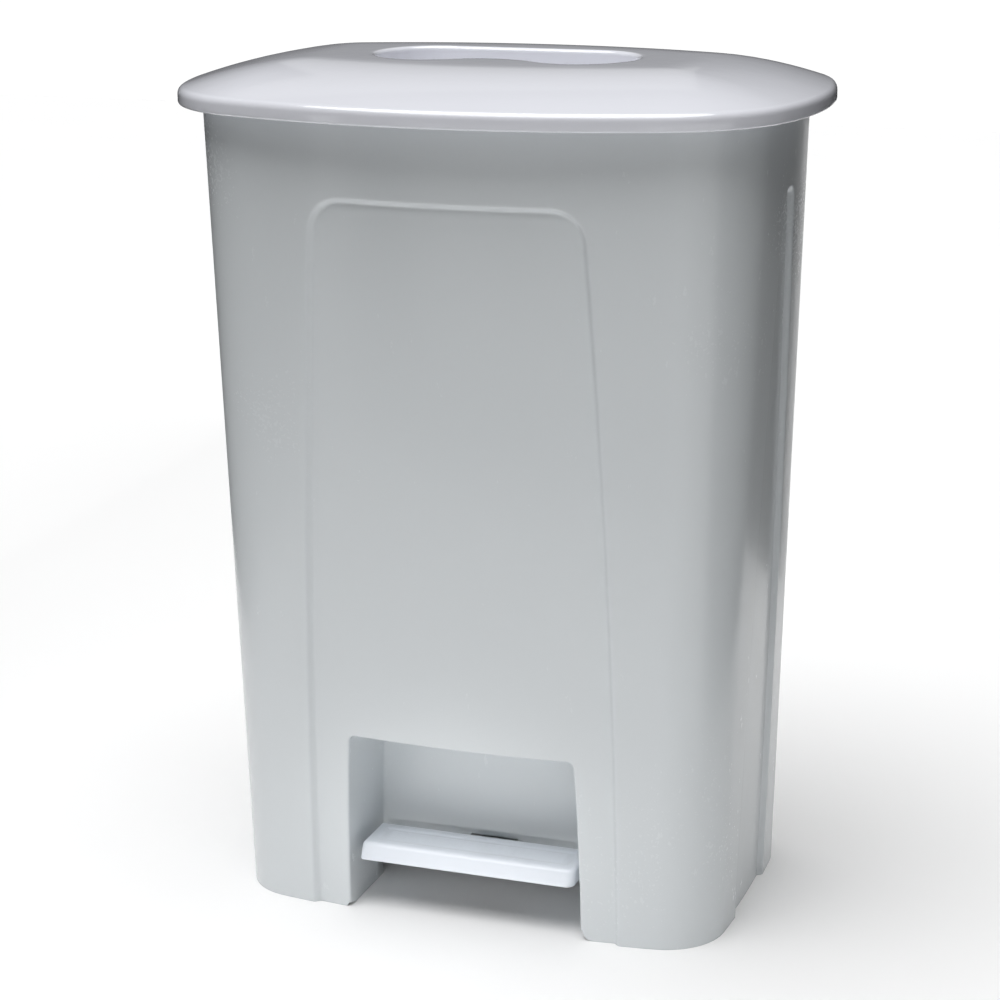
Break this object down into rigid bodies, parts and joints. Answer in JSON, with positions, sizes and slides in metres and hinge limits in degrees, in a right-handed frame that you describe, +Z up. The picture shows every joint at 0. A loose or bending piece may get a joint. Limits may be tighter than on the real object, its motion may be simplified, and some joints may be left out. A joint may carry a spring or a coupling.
{
  "type": "pedal bin",
  "caption": "Tall white plastic pedal bin with a domed overhanging lid, a hand well in the lid, arched sunk panels and a foot pedal in a front niche.",
  "frame": {"origin": "on the floor, under the middle of the lid's outline", "axes": "+Z up, -Y towards the front with the pedal, +X to the right of someone facing the front"},
  "size_m": [0.477, 0.3264, 0.6338],
  "materials": {
    "body_plastic": "glossy moulded polypropylene, pale cool grey-white",
    "lid_plastic": "high-gloss moulded polypropylene, cool white",
    "pedal_plastic": "glossy moulded polypropylene, cool white",
    "guide_plastic": "satin moulded acetal, off-white",
    "lever_steel": "zinc-plated folded steel",
    "bright_steel": "bright drawn steel wire and bar",
    "spring_steel": "dark oiled spring steel",
    "zinc_steel": "zinc-plated screws",
    "buffer_rubber": "soft black rubber"
  },
  "bodies": {
    "bin": {"outer_body": "body_plastic", "rear_rod_cover": "body_plastic", "cover_screws": "zinc_steel", "lid_hinge_pin_left": "bright_steel", "lid_hinge_pin_right": "bright_steel", "pedal_axle": "bright_steel", "axle_clip_left": "spring_steel", "axle_clip_right": "spring_steel", "rod_guide_lower": "guide_plastic", "rod_guide_upper": "guide_plastic"},
    "lid": {"lid": "lid_plastic", "lid_crank": "guide_plastic", "lid_crank_screws": "zinc_steel", "lid_buffer_left": "buffer_rubber", "lid_buffer_right": "buffer_rubber"},
    "pedal": {"pedal_tread": "pedal_plastic", "tread_screws": "zinc_steel", "pedal_lever": "lever_steel"},
    "rod": {"push_rod": "bright_steel", "rod_clip_lower": "spring_steel", "rod_clip_upper": "spring_steel"}
  },
  "joints": [
    {"name": "lid_hinge", "type": "hinge", "parent": "bin", "child": "lid", "pos_m": [0, 0.146, 0.604], "axis": [-1, 0, 0], "range_deg": [0, 80]},
    {"name": "pedal_pivot", "type": "hinge", "parent": "bin", "child": "pedal", "pos_m": [0, -0.00007, 0.024], "axis": [1, 0, 0], "range_deg": [0, 16]},
    {"name": "rod_slide", "type": "slide", "parent": "bin", "child": "rod", "axis": [0, 0.0309, 0.9995], "range_m": [0, 0.03087]}
  ],
  "couplings": [
    {"joint": "pedal_pivot", "follows": "lid_hinge", "ratio": 0.2},
    {"joint": "rod_slide", "follows": "lid_hinge", "m_per_rad": 0.022108}
  ]
}
